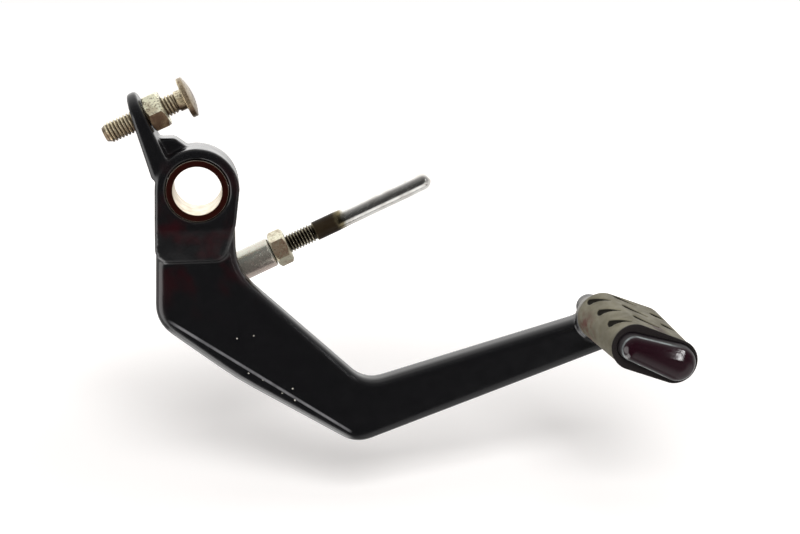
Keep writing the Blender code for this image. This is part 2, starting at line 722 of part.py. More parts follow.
def make_split_pin(material):
    path = split_pin_path()
    curve = bpy.data.curves.new("split_pin", "CURVE")
    curve.dimensions = "3D"
    curve.bevel_depth = WIRE_R
    curve.bevel_resolution = WIRE_STEPS // 4
    curve.use_fill_caps = True
    spline = curve.splines.new("POLY")
    spline.points.add(len(path) - 1)
    for point, (x, z) in zip(spline.points, path):
        point.co = (x, 0.0, z, 1.0)
    wire = bpy.data.objects.new("split_pin", curve)
    wire.location = (PIN_X, SPLIT_Y, PIN_Z)
    curve.materials.append(material)
    bpy.context.scene.collection.objects.link(wire)


def build():
    clear_scene()
    paint = make_material("black_paint", (0.008, 0.008, 0.009), 0.3, 0.0)
    bare_steel = make_material("sleeve_steel", (0.5, 0.42, 0.33), 0.4, 1.0)
    black_rubber = make_material("ring_rubber", (0.02, 0.02, 0.02), 0.7, 0.0)
    grey_rubber = make_material("toe_rubber", (0.19, 0.17, 0.14), 0.75, 0.0)
    old_zinc = make_material("old_zinc", (0.42, 0.38, 0.28), 0.4, 1.0)
    pale_zinc = make_material("pale_zinc", (0.55, 0.54, 0.45), 0.35, 1.0)
    joint_steel = make_material("joint_steel", (0.4, 0.41, 0.38), 0.35, 1.0)
    bright_steel = make_material("bright_steel", (0.7, 0.7, 0.7), 0.2, 1.0)

    bolt_axis = make_axis("stop_bolt_axis", (EAR_X, 0.0, EAR_Z), BOLT_ANGLE)
    rod_axis = make_axis("rod_joint_axis", (PIN_X, EYE_Y, PIN_Z), ROD_ANGLE)

    make_sleeve(bare_steel)
    make_lever(paint, bolt_axis)
    make_grease_ring("outer_grease_ring", -1, black_rubber)
    make_grease_ring("inner_grease_ring", 1, black_rubber)
    make_toe_rubber(grey_rubber)
    make_stop_bolt(old_zinc, bolt_axis)
    for piece in make_nut("stop_lock_nut", NUT_START, old_zinc):
        attach(piece, bolt_axis)
    make_rod_joint(joint_steel, rod_axis)
    make_push_rod(bright_steel, rod_axis)
    for piece in make_nut("push_rod_lock_nut", ROD_NUT_START, pale_zinc):
        attach(piece, rod_axis)
    make_joint_pin(bright_steel)
    make_joint_washer(pale_zinc)
    make_split_pin(pale_zinc)


build()
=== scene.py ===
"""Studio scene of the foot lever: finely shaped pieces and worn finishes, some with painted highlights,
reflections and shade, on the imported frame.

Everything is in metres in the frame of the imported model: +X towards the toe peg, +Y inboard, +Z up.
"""
import json
import math

import bmesh
import bpy
from mathutils import Matrix, Vector

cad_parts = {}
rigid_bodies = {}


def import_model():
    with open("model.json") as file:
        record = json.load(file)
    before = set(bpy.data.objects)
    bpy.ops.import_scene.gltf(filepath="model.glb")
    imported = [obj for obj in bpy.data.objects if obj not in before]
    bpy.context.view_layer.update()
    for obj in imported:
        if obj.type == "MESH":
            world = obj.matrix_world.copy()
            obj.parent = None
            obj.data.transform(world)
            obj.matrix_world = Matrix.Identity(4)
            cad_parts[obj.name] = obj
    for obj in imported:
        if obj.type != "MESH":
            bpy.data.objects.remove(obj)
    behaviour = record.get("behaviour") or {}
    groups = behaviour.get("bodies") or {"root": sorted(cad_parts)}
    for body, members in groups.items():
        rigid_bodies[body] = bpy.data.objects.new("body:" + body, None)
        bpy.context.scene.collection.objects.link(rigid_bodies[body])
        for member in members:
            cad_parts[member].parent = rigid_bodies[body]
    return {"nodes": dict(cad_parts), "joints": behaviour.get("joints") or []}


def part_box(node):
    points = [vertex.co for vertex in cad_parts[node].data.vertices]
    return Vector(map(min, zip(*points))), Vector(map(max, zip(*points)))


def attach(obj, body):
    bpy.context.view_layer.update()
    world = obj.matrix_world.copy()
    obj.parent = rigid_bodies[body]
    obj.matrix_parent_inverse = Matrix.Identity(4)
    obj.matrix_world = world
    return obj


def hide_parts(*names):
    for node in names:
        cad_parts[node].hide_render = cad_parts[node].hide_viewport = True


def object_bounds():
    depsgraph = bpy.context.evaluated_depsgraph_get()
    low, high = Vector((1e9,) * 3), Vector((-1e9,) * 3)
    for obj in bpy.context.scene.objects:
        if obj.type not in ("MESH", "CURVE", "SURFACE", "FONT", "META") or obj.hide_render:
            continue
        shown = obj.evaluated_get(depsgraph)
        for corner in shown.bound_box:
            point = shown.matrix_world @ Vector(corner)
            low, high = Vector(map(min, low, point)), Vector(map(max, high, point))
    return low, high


MM = 0.001

# Camera, as fitted to the photograph
CAMERA_PLACE = (8.20 * MM, -326.44 * MM, 55.81 * MM)
CAMERA_YAW = math.radians(9.0)      # towards +X
CAMERA_PITCH = math.radians(14.0)   # downwards
CAMERA_LENS = 50.0
CAMERA_SENSOR = 36.0
CAMERA_CLIP = (0.01, 100.0)

# The forging and the rod's eye: their creases are softened by remeshing and smoothing
LEVER_VOXEL = 0.4 * MM
LEVER_SMOOTHING = 8
ROD_JOINT_VOXEL = 0.3 * MM
ROD_JOINT_SMOOTHING = 3
SMOOTHING_FACTOR = 0.5

# Steps of round edges and of domes, and the angles in degrees above which an edge stays sharp
EDGE_STEPS = 5
DOME_STEPS = 12
SHARP_ANGLE = 40.0
NUT_SHARP_ANGLE = 25.0
RUBBER_SHARP_ANGLE = 60.0

# M6 threads and lock nuts
THREAD_R = 3.0 * MM
THREAD_PITCH = 1.0 * MM
THREAD_DEPTH = 0.58 * MM
THREAD_SHARPNESS = 1.2              # above 1 the grooves are narrower than the crests
THREAD_STEPS = 48
RINGS_PER_PITCH = 14
GROOVE_START = 0.25 * MM            # depth below the crests where the grooves' stain starts
GROOVE_FULL = 0.52 * MM
NUT_ACROSS_FLATS = 10.0 * MM
NUT_FACE = 0.97                     # width of the end faces as a share of the flats
NUT_CHAMFER = 0.72 * MM             # length along the nut
NUT_CHAMFER_STEPS = 10
NUT_FIT = 0.1 * MM                  # of the hole on the thread
NUT_MOUTH = 0.35 * MM               # countersink of the hole
NUT_STEPS = 120
ROD_NUT_TURN = math.radians(39.0)   # a flat faces the camera

# Stop bolt
BOLT_POINT = 0.7 * MM
BOLT_POINT_DROP = 0.3 * MM          # of the end's edge below the thread's root
BOLT_SHOULDER = 2.2 * MM
BOLT_HEAD_RIM = 1.6 * MM
BOLT_HEAD_DOME = 1.1 * MM
BOLT_EDGE = 0.25 * MM
BOLT_DOME_ANGLE = 25.0              # where the head's round edge passes into its dome

# Push rod, from the joint's pin along the rod
ROD_THREAD_START = 21.6 * MM
ROD_THREAD_END = 36.5 * MM
ROD_THREAD_RUNOUT = 0.4 * MM
ROD_NECK_END = 43.7 * MM
ROD_NECK_R = 3.1 * MM
ROD_SHAFT_R = 3.0 * MM
ROD_TIP_R = 2.9 * MM
ROD_TIP_LENGTH = 4.5 * MM
# Its finish: where the thread's colour and the neck's stain start and end
ROD_THREAD_FADE = (ROD_THREAD_END, ROD_THREAD_END - 0.6 * MM)
ROD_STAIN_START = (ROD_THREAD_END - 0.6 * MM, ROD_THREAD_END + 0.4 * MM)
ROD_STAIN_END = (ROD_NECK_END + 6.5 * MM, ROD_NECK_END + 0.6 * MM)
ROD_STAIN_RAGGED = 3.0 * MM

# Pivot sleeve
SLEEVE_BORE_R = 7.0 * MM
SLEEVE_EDGE = 0.3 * MM
SLEEVE_STEPS = 128
SLEEVE_GREASE = (7.9 * MM, 8.15 * MM)   # distances from its middle between which the grease begins

# Toe peg at its free end: two circles of its section as (X, Z), and its slants towards the arm
PEG_REAR = Vector((122.5, -44.4)) * MM
PEG_REAR_R = 4.1 * MM
PEG_FRONT = Vector((136.3, -49.8)) * MM
PEG_FRONT_R = 5.5 * MM
PEG_END_Y = -37.05 * MM
PEG_DROOP = 0.055
PEG_LEAN = 0.035
PEG_DOME = 0.9 * MM                 # how far its end stands proud in the middle
PEG_ROUND = 2.2 * MM                # rounding of the end's edge
PEG_FACING = -0.35                  # surfaces that face outward more than this belong to the end
PEG_END_PAINT = (-33.2 * MM, -34.2 * MM)    # Y between which the paint of the end begins
PEG_LINE = 0.45 * MM                # painted highlight line on its end, in from the outline
PEG_LINE_BLUR = 0.1 * MM
PEG_LINE_HALF = (0.24 * MM, 0.05 * MM)  # half widths where it starts and where it is full
PEG_LINE_RUN = (9.0 * MM, 14.0 * MM)    # ahead of the rear circle, where the line fades out

# Toe rubber: its circles lie ahead of the peg's and are larger, the more so towards the arm
RUBBER_REAR_AHEAD = 1.5 * MM
RUBBER_FRONT_AHEAD = 0.5 * MM
RUBBER_DROP = 0.2 * MM
RUBBER_REAR_WALL = 2.4 * MM
RUBBER_FRONT_WALL = 0.75 * MM
RUBBER_REAR_SWELL = 1.1 * MM
RUBBER_FRONT_SWELL = 1.5 * MM
RUBBER_FIT = 0.15 * MM
RUBBER_LIP = 0.35 * MM
RUBBER_LIP_RUN = 2.1 * MM
RUBBER_EDGE = 0.3 * MM
RUBBER_ROUND_STEPS = 260
RUBBER_LONG_STEPS = 150
# Tread: rows of slots that taper from a round end
SLOT_ROWS = 3
SLOT_PITCH = 8.6 * MM
SLOT_DEPTH = 0.65 * MM
SLOT_WALL = 0.3 * MM
# Each column: place of its start round the section from the rear tangent, run, first row, slant, half widths
SLOT_COLUMNS = (
    (-7.6 * MM, 4.9 * MM, -8.6 * MM, -0.78, 1.35 * MM, 0.3 * MM),
    (2.0 * MM, 5.4 * MM, -7.3 * MM, -0.47, 1.7 * MM, 0.5 * MM),
    (12.4 * MM, 4.4 * MM, -5.2 * MM, -0.28, 1.6 * MM, 0.8 * MM),
)
# Soil low at its rear, a stain by its lip, and painted shade on the rim at its open end: places, and where
# each starts and ends
SOIL_PLACE = Vector((114.0, -13.0, -46.5)) * MM
SOIL_REACH = (3.0 * MM, 9.0 * MM)
STAIN_PLACE = Vector((132.3, -28.8, -41.0)) * MM
STAIN_REACH = (5.2 * MM, 3.4 * MM)
STAIN_RAGGED = 4.0 * MM
RIM_Y = (-31.4 * MM, -32.6 * MM)
RIM_RAGGED = 1.0 * MM

# Marks and painted light in the lever's paint
ARM_FACE_Y = 4.25 * MM              # half the arm's thickness
HUB_REFLECTION_PLACE = Vector((0.0, -6.0, -14.0)) * MM
HUB_REFLECTION_REACH = (8.0 * MM, 30.0 * MM)
COLLAR_HIGHLIGHT_PLACE = Vector((117.5, -4.0, -39.0)) * MM
COLLAR_HIGHLIGHT_REACH = (6.0 * MM, 3.0 * MM)
# Painted highlight line along the arm's lower left edge: a point on it, its direction and its reach either
# way
RIDGE_PLACE = Vector((12.61 * MM, -ARM_FACE_Y, -55.59 * MM))
RIDGE_ALONG = Vector((0.813, 0.0, -0.582))
RIDGE_BACK = 29.0 * MM
RIDGE_BACK_FADE = 5.0 * MM
RIDGE_AHEAD = 39.0 * MM
RIDGE_AHEAD_FADE = 2.0 * MM
RIDGE_HALF = (0.6 * MM, 0.15 * MM)  # half widths where it starts and where it is full
RIDGE_Y = (-3.0 * MM, -3.8 * MM)    # only on the outer side of the arm
# Chips in the paint of the arm's outer face and of its lower edge: place and size
PAINT_CHIPS = (
    (9.7 * MM, -45.7 * MM, 0.24 * MM),
    (14.7 * MM, -45.1 * MM, 0.16 * MM),
    (26.0 * MM, -62.6 * MM, 0.26 * MM),
    (12.8 * MM, -56.9 * MM, 0.22 * MM),
    (17.0 * MM, -59.4 * MM, 0.20 * MM),
    (22.7 * MM, -63.9 * MM, 0.18 * MM),
    (26.6 * MM, -66.4 * MM, 0.26 * MM),
)
CHIP_EDGE = (0.2 * MM, 0.12 * MM)   # added to a chip's size where it starts and is full
CHIP_RAGGED = 0.35 * MM

NOISE_RANGE = (0.3, 0.7)            # most values of the noise lie between these

# Colours
PAINT_BLACK = (0.0035, 0.0035, 0.004)
PAINT_RED_REFLECTION = (0.012, 0.0012, 0.0022)
PAINT_CHIPPED = (0.42, 0.40, 0.35)
PAINT_WORN = (0.16, 0.15, 0.14)
PAINT_RIDGE_HIGHLIGHT = (0.12, 0.12, 0.125)
PAINT_COLLAR_HIGHLIGHT = (0.22, 0.21, 0.19)
PEG_END_DARK = (0.006, 0.004, 0.005)
PEG_END_RED = (0.009, 0.002, 0.004)
PEG_END_HIGHLIGHT = (0.17, 0.19, 0.19)
RUBBER_DARK = (0.115, 0.105, 0.074)
RUBBER_PALE = (0.165, 0.152, 0.110)
RUBBER_SOIL = (0.10, 0.045, 0.035)
RUBBER_STAIN = (0.032, 0.016, 0.013)
RUBBER_SLOT_SHADE = (0.010, 0.009, 0.007)
RUBBER_RIM_SHADE = (0.012, 0.010, 0.010)
ZINC_GROOVE = (0.075, 0.052, 0.030)
ROD_BRIGHT = (0.88, 0.87, 0.84)
ROD_DULL = (0.74, 0.72, 0.68)
ROD_THREAD = (0.26, 0.24, 0.18)
ROD_OLIVE = (0.20, 0.17, 0.10)
ROD_NECK = (0.013, 0.009, 0.005)
ROD_GROOVE = (0.02, 0.015, 0.010)
GREASE_DARK = (0.006, 0.0012, 0.0008)
GREASE_BROWN = (0.016, 0.003, 0.002)
SLEEVE_PALE = (0.78, 0.70, 0.56)
SLEEVE_BROWN = (0.60, 0.52, 0.39)
RING_BLACK = (0.012, 0.012, 0.012)
RING_GREY = (0.025, 0.024, 0.023)
# Plated finishes with painted light: painted highlight colours of upper sides, painted shade colours of under
# sides, painted reflection colours of outward faces, and size of the blotches
BOLT_PLATING_PAINTED_LIGHT = ((0.66, 0.60, 0.43), (0.11, 0.070, 0.042), (0.56, 0.46, 0.29), 2.2 * MM)
NUT_PLATING_PAINTED_LIGHT = ((0.92, 0.90, 0.68), (0.085, 0.048, 0.026), (0.30, 0.22, 0.13), 2.2 * MM)
PALE_PLATING_PAINTED_LIGHT = ((0.66, 0.63, 0.49), (0.33, 0.31, 0.22), (0.22, 0.135, 0.085), 2.5 * MM)
JOINT_PLATING_PAINTED_LIGHT = ((0.52, 0.53, 0.46), (0.50, 0.42, 0.37), (0.44, 0.41, 0.35), 3.5 * MM)
PLATING_ROUGHNESS = (0.25, 0.42)
PLATING_METALLIC = 0.7
JOINT_ROUGHNESS = (0.16, 0.28)
JOINT_METALLIC = 0.82
DULL_RUN = 0.6 * MM                 # over which the bolt's head turns mostly to the painted shade colour of its under sides

# Floor
FLOOR_DROP = 27.0 * MM              # clear of the pressed lever and of the rod when it hangs
FLOOR_SIZE = 30.0
FLOOR_TONE = (0.90, 0.88, 0.87)
FLOOR_ROUGHNESS = 0.9
FLOOR_GLOW_COLOUR = (1.0, 0.97, 0.95, 1.0)
FLOOR_GLOW = 0.15                   # near the object
FLOOR_GLOW_FAR = 0.8
FLOOR_MIDDLE_X = 0.06
FLOOR_NEAR = 0.10
FLOOR_FAR = 0.36

# Light
ROOM_LEVEL = 0.30                   # even light on dull surfaces
STUDIO_TINT = (1.0, 0.99, 0.98, 1.0)
HORIZON = (85.0, 97.0)              # degrees from straight down between which ground passes into sky
# What shiny surfaces see, by the angle from the middle of the dark space in front of the object
DARK_MIDDLE = Vector((0.08, -0.93, -0.36))
SKY_STOPS = (
    (0.0, 0.03), (30.0, 0.05), (44.0, 0.10), (64.0, 0.19), (85.0, 0.36),
    (98.0, 0.70), (112.0, 1.2), (131.0, 1.5), (152.0, 1.6), (176.0, 1.7),
)
GROUND_STOPS = ((0.0, 0.03), (14.0, 0.04), (30.0, 0.12), (53.0, 0.40), (90.0, 0.8))
# Bright fields round it: direction, half angle, brightness
WINDOWS = (
    ((-0.80, -0.53, -0.26), 26.0, 3.3),
    ((-0.38, -0.68, -0.63), 9.0, 1.8),
    ((-0.34, -0.50, -0.795), 13.0, 4.0),
    ((-0.38, -0.12, -0.92), 15.0, 3.5),
    ((-0.37, 0.28, -0.885), 14.0, 3.0),
    ((0.52, -0.52, -0.68), 27.0, 0.85),
)
WINDOW_BLUR = 0.25                  # share of the half angle
# Soft lamps that shiny surfaces don't see: name, place, width, power; and where they aim
SOFT_LAMPS = (
    ("front_key", (0.05, -0.60, 0.38), 0.32, 6.2),
    ("top_softbox", (0.05, -0.20, 0.70), 0.60, 1.4),
)
LAMP_TARGET = (0.05, 0.0, -0.05)
# Bent strip lamp that draws the streak on the peg's end
STRIP_POINTS = (
    Vector((270.0, -87.0, 94.0)) * MM,
    Vector((259.0, -160.0, 54.0)) * MM,
    Vector((237.0, -208.0, -20.0)) * MM,
    Vector((227.0, -216.0, -59.0)) * MM,
    Vector((214.0, -213.0, -102.0)) * MM,
)
STRIP_TARGET = Vector((136.0, -37.0, -46.0)) * MM
STRIP_WIDTH = 1.1 * MM
STRIP_RADIANCE = 45.0


def link(item):
    bpy.context.scene.collection.objects.link(item)
    return item


def new_piece(name, points, faces):
    mesh = bpy.data.meshes.new(name)
    mesh.from_pydata([tuple(p) for p in points], [], faces)
    edit = bmesh.new()
    edit.from_mesh(mesh)
    bmesh.ops.recalc_face_normals(edit, faces=edit.faces)
    edit.to_mesh(mesh)
    edit.free()
    return link(bpy.data.objects.new(name, mesh))


def loft(name, rings, closed=False):
    """Skin over rings of equal length, capped, or bent round on itself."""
    count = len(rings[0])
    points = [p for ring in rings for p in ring]
    faces = []
    for r in range(len(rings) if closed else len(rings) - 1):
        a = r * count
        b = (r + 1) % len(rings) * count
        for i in range(count):
            j = (i + 1) % count
            faces.append((a + i, a + j, b + j, b + i))
    if not closed:
        faces.append(tuple(range(count)))
        faces.append(tuple(range(len(points) - count, len(points))))
    return new_piece(name, points, faces)


def shade(piece, angle=SHARP_ANGLE):
    piece.data.shade_smooth()
    piece.data.set_sharp_from_angle(angle=math.radians(angle))
    return piece


class Axis:
    """A straight axis in the frame, with two directions across it.

    The first of them is +Y, or +Z where the axis itself lies along Y.
    """

    def __init__(self, origin, along):
        self.origin = Vector(origin)
        self.along = Vector(along).normalized()
        self.side = Vector((0.0, 1.0, 0.0))
        if abs(self.along.y) > 0.9:
            self.side = Vector((0.0, 0.0, 1.0))
        self.up = self.along.cross(self.side)

    def point(self, place, radius, angle):
        across = math.cos(angle) * self.side + math.sin(angle) * self.up
        return self.origin + self.along * place + across * radius

    def span(self, node):
        """Where a CAD node starts and ends along this axis."""
        places = [(v.co - self.origin).dot(self.along) for v in node.data.vertices]
        return min(places), max(places)

    def reach(self, node):
        """The largest radius of a CAD node about this axis."""
        widest = 0.0
        for vertex in node.data.vertices:
            offset = vertex.co - self.origin
            widest = max(widest, (offset - self.along * offset.dot(self.along)).length)
        return widest


def turned(name, axis, profile, steps, closed=False):
    """A profile of (place, radius) round an axis; a radius may depend on the angle."""
    rings = []
    for place, radius in profile:
        ring = []
        for i in range(steps):
            angle = 2 * math.pi * i / steps
            value = radius(angle) if callable(radius) else radius
            ring.append(axis.point(place, value, angle))
        rings.append(ring)
    return loft(name, rings, closed)


def thread(start, end):
    """Right-hand thread with worn round crests, running out at both ends."""
    count = round((end - start) / THREAD_PITCH * RINGS_PER_PITCH)
    profile = []
    for k in range(count + 1):
        place = start + (end - start) * k / count
        fade = min(1.0, (place - start) / THREAD_PITCH, (end - place) / THREAD_PITCH)

        def radius(angle, place=place, fade=fade):
            turn = 2 * math.pi * place / THREAD_PITCH - angle
            groove = (0.5 + 0.5 * math.cos(turn)) ** THREAD_SHARPNESS
            return THREAD_R - THREAD_DEPTH * max(groove, 1.0 - fade)

        profile.append((place, radius))
    return profile


def arc(place, radius, size, start, end):
    """Round edge in a profile: from one angle in degrees to another about a centre."""
    points = []
    for k in range(EDGE_STEPS + 1):
        angle = math.radians(start + (end - start) * k / EDGE_STEPS)
        points.append((place + size * math.cos(angle), radius + size * math.sin(angle)))
    return points


def applied(piece):
    """Bakes a piece's modifiers into its mesh."""
    graph = bpy.context.evaluated_depsgraph_get()
    mesh = bpy.data.meshes.new_from_object(piece.evaluated_get(graph))
    piece.modifiers.clear()
    piece.data = mesh
    return piece


def softened(node, name, voxel, rounds):
    """A fine copy of a CAD node with soft edges and blends."""
    piece = link(bpy.data.objects.new(name, node.data.copy()))
    piece.data.materials.clear()
    grid = piece.modifiers.new("grid", "REMESH")
    grid.mode = "VOXEL"
    grid.voxel_size = voxel
    soften = piece.modifiers.new("soften", "SMOOTH")
    soften.factor = SMOOTHING_FACTOR
    soften.iterations = rounds
    applied(piece)
    piece.data.shade_smooth()
    return piece


def peg_depth(x, z):
    """How far a point of the peg's end lies inside the peg's outline."""
    along = PEG_FRONT - PEG_REAR
    point = Vector((x, z))
    share = min(1.0, max(0.0, (point - PEG_REAR).dot(along) / along.length_squared))
    radius = PEG_REAR_R + (PEG_FRONT_R - PEG_REAR_R) * share
    return radius - (point - PEG_REAR.lerp(PEG_FRONT, share)).length


def dome_peg(lever):
    """Gives the end of the toe peg a smooth rounded edge and a low dome."""
    end = [v for v in lever.data.vertices if v.co.y < PEG_END_Y + PEG_ROUND and v.normal.y < PEG_FACING]
    for vertex in end:
        depth = max(0.0, peg_depth(vertex.co.x, vertex.co.z))
        edge = 1.0 - min(1.0, depth / PEG_ROUND)
        middle = min(1.0, depth / PEG_REAR_R)
        rise = PEG_DOME * middle * (2.0 - middle)
        vertex.co.y = PEG_END_Y + PEG_ROUND * (1.0 - math.sqrt(1.0 - edge * edge)) - rise


class Nodes:
    """Short helpers for the nodes of a material or of the world."""

    def __init__(self, tree):
        self.tree = tree

    def feed(self, socket, value):
        """Links a socket to another one, or sets its value."""
        if isinstance(value, bpy.types.NodeSocket):
            self.tree.links.new(value, socket)
        else:
            socket.default_value = value

    def math(self, kind, *values):
        made = self.tree.nodes.new("ShaderNodeMath")
        made.operation = kind
        for socket, value in zip(made.inputs, values):
            self.feed(socket, value)
        return made.outputs[0]

    def plus(self, first, second):
        return self.math("ADD", first, second)

    def minus(self, first, second):
        return self.math("SUBTRACT", first, second)

    def times(self, first, *others):
        for other in others:
            first = self.math("MULTIPLY", first, other)
        return first

    def square(self, value):
        return self.math("POWER", value, 2.0)

    def compare(self, kind, first, second):
        """The number that a vector operation makes of two vectors."""
        made = self.tree.nodes.new("ShaderNodeVectorMath")
        made.operation = kind
        self.feed(made.inputs[0], first)
        self.feed(made.inputs[1], second)
        return made.outputs["Value"]

    def ramp(self, value, low, high, to_low=0.0, to_high=1.0):
        """Smooth step that turns low into to_low and high into to_high."""
        made = self.tree.nodes.new("ShaderNodeMapRange")
        made.interpolation_type = "SMOOTHSTEP"
        for socket, number in zip(made.inputs, (value, low, high, to_low, to_high)):
            self.feed(socket, number)
        return made.outputs[0]


class Finish(Nodes):
    """A material with a Principled shader and short helpers for its procedural inputs."""

    def __init__(self, name, metallic=0.0, specular=0.5):
        self.material = bpy.data.materials.new(name)
        self.material.use_nodes = True
        super().__init__(self.material.node_tree)
        self.shader = self.tree.nodes["Principled BSDF"]
        self.give("Metallic", metallic)
        self.give("Specular IOR Level", specular)
        surface = self.tree.nodes.new("ShaderNodeTexCoord")
        self.place = surface.outputs["Object"]
        self.normal = surface.outputs["Normal"]

    def give(self, key, value):
        """Sets or links an input of the shader."""
        self.feed(self.shader.inputs[key], value)

    def noise(self, size, detail=3.0):
        """Noise with features of about a size."""
        made = self.tree.nodes.new("ShaderNodeTexNoise")
        self.feed(made.inputs["Vector"], self.place)
        self.feed(made.inputs["Scale"], 1.0 / size)
        self.feed(made.inputs["Detail"], detail)
        return made.outputs[0]

    def wander(self, size, low, high, detail=3.0):
        """A value that wanders between two limits over the surface."""
        return self.ramp(self.noise(size, detail), *NOISE_RANGE, low, high)

    def mix(self, share, first, second):
        """A colour between two others."""
        made = self.tree.nodes.new("ShaderNodeMix")
        made.data_type = "RGBA"
        self.feed(made.inputs[0], share)
        for socket, colour in zip(made.inputs[6:8], (first, second)):
            if isinstance(colour, tuple):
                colour = (*colour, 1.0)
            self.feed(socket, colour)
        return made.outputs[2]

    def distance(self, point):
        """Distance of a surface point from another point."""
        return self.compare("DISTANCE", self.place, point)

    def axis_place(self, axis):
        """Distance of a surface point along an axis."""
        along = self.compare("DOT_PRODUCT", self.place, axis.along)
        return self.minus(along, axis.origin.dot(axis.along))

    def axis_radius(self, axis):
        """Distance of a surface point from an axis."""
        away = self.square(self.distance(axis.origin))
        along = self.square(self.axis_place(axis))
        return self.math("SQRT", self.minus(away, along))

    def groove(self, axis):
        """Where a point lies in the groove of a thread."""
        return self.ramp(self.axis_radius(axis), THREAD_R - GROOVE_START, THREAD_R - GROOVE_FULL)

    def part(self, letter, vector=None):
        """One component of the surface point or of another vector."""
        made = self.tree.nodes.new("ShaderNodeSeparateXYZ")
        self.feed(made.inputs["Vector"], vector or self.place)
        return made.outputs[letter]

    def pointiness(self):
        return self.tree.nodes.new("ShaderNodeNewGeometry").outputs["Pointiness"]

    def peg_section(self):
        """How far a point lies inside the peg's outline, and how far ahead of the peg's rear circle."""
        along = (PEG_FRONT - PEG_REAR).normalized()
        length = (PEG_FRONT - PEG_REAR).length
        x = self.minus(self.part("X"), PEG_REAR.x)
        z = self.minus(self.part("Z"), PEG_REAR.y)
        run = self.plus(self.times(x, along.x), self.times(z, along.y))
        side = self.minus(self.times(z, along.x), self.times(x, along.y))
        between = self.math("MINIMUM", self.math("MAXIMUM", run, 0.0), length)
        past = self.minus(run, between)
        reach = self.math("SQRT", self.plus(self.square(side), self.square(past)))
        growth = (PEG_FRONT_R - PEG_REAR_R) / length
        radius = self.plus(self.times(between, growth), PEG_REAR_R)
        return self.minus(radius, reach), run

    def bump(self, height, depth, strength=1.0):
        made = self.tree.nodes.new("ShaderNodeBump")
        self.feed(made.inputs["Strength"], strength)
        self.feed(made.inputs["Distance"], depth)
        self.feed(made.inputs["Height"], height)
        self.give("Normal", made.outputs[0])

    def finish(self, colour, roughness):
        self.give("Base Color", colour)
        self.give("Roughness", roughness)
        return self.material


def black_paint():
    """Gloss black paint with a painted red reflection round the hub, chips, a painted highlight line along
    the lower left edge, a painted highlight on the collar, and a red peg end with a painted highlight line.
    """
    look = Finish("black_paint_finish", specular=0.4)
    # Painted reflection: a dark red cast round the hub stands for warm surroundings mirrored in the paint
    red_reflection = look.ramp(look.noise(9.0 * MM), 0.45, 0.68)
    near_hub = look.ramp(look.distance(HUB_REFLECTION_PLACE), *HUB_REFLECTION_REACH, 1.0, 0.0)
    colour = look.mix(look.times(red_reflection, near_hub), PAINT_BLACK, PAINT_RED_REFLECTION)
    chips = 0.0
    ragged = look.times(look.noise(0.5 * MM), CHIP_RAGGED)
    for x, z, size in PAINT_CHIPS:
        reach = look.plus(look.distance((x, -ARM_FACE_Y, z)), ragged)
        chip = look.ramp(reach, size + CHIP_EDGE[0], size + CHIP_EDGE[1])
        chips = look.math("MAXIMUM", chips, chip)
    colour = look.mix(chips, colour, PAINT_CHIPPED)
    worn = look.ramp(look.pointiness(), 0.53, 0.60)
    worn = look.times(worn, look.ramp(look.noise(2.0 * MM), 0.45, 0.62))
    colour = look.mix(look.times(worn, 0.2), colour, PAINT_WORN)
    roughness = look.wander(4.0 * MM, 0.10, 0.17)

    along = look.axis_place(Axis(RIDGE_PLACE, RIDGE_ALONG))
    across = look.axis_place(Axis(RIDGE_PLACE, RIDGE_ALONG.cross(Vector((0.0, 1.0, 0.0)))))
    # Painted highlight: a light line along the arm's lower left edge
    ridge_highlight = look.times(
        look.ramp(look.math("ABSOLUTE", across), *RIDGE_HALF),
        look.ramp(along, -RIDGE_BACK, RIDGE_BACK_FADE - RIDGE_BACK),
        look.ramp(along, RIDGE_AHEAD, RIDGE_AHEAD - RIDGE_AHEAD_FADE),
        look.ramp(look.part("Y"), *RIDGE_Y),
        look.ramp(look.noise(5.0 * MM), 0.3, 0.6, 0.6, 1.0),
    )
    colour = look.mix(ridge_highlight, colour, PAINT_RIDGE_HIGHLIGHT)
    # Painted highlight: a lighter patch on the collar by the toe peg
    collar_highlight = look.ramp(look.distance(COLLAR_HIGHLIGHT_PLACE), *COLLAR_HIGHLIGHT_REACH)
    colour = look.mix(collar_highlight, colour, PAINT_COLLAR_HIGHLIGHT)

    # The peg's end: a painted highlight line round a polished dark red face
    end = look.ramp(look.part("Y"), *PEG_END_PAINT)
    depth, run = look.peg_section()
    face = look.times(end, look.ramp(depth, PEG_LINE - PEG_LINE_BLUR, PEG_LINE + PEG_LINE_BLUR))
    off_line = look.math("ABSOLUTE", look.minus(depth, PEG_LINE))
    highlight_line = look.times(
        end,
        look.ramp(off_line, *PEG_LINE_HALF),
        look.ramp(run, *PEG_LINE_RUN, 1.0, 0.0),
        look.ramp(look.noise(3.0 * MM), 0.35, 0.6, 0.35, 1.0),
    )
    colour = look.mix(end, colour, PEG_END_DARK)
    colour = look.mix(face, colour, PEG_END_RED)
    colour = look.mix(highlight_line, colour, PEG_END_HIGHLIGHT)
    roughness = look.plus(roughness, look.times(end, 0.3))
    unpolished = look.minus(1.0, face)
    roughness = look.plus(look.times(roughness, unpolished), 0.06)
    look.bump(look.noise(0.9 * MM, 2.0), 0.012 * MM, look.times(unpolished, 0.4))
    return look.finish(colour, roughness)


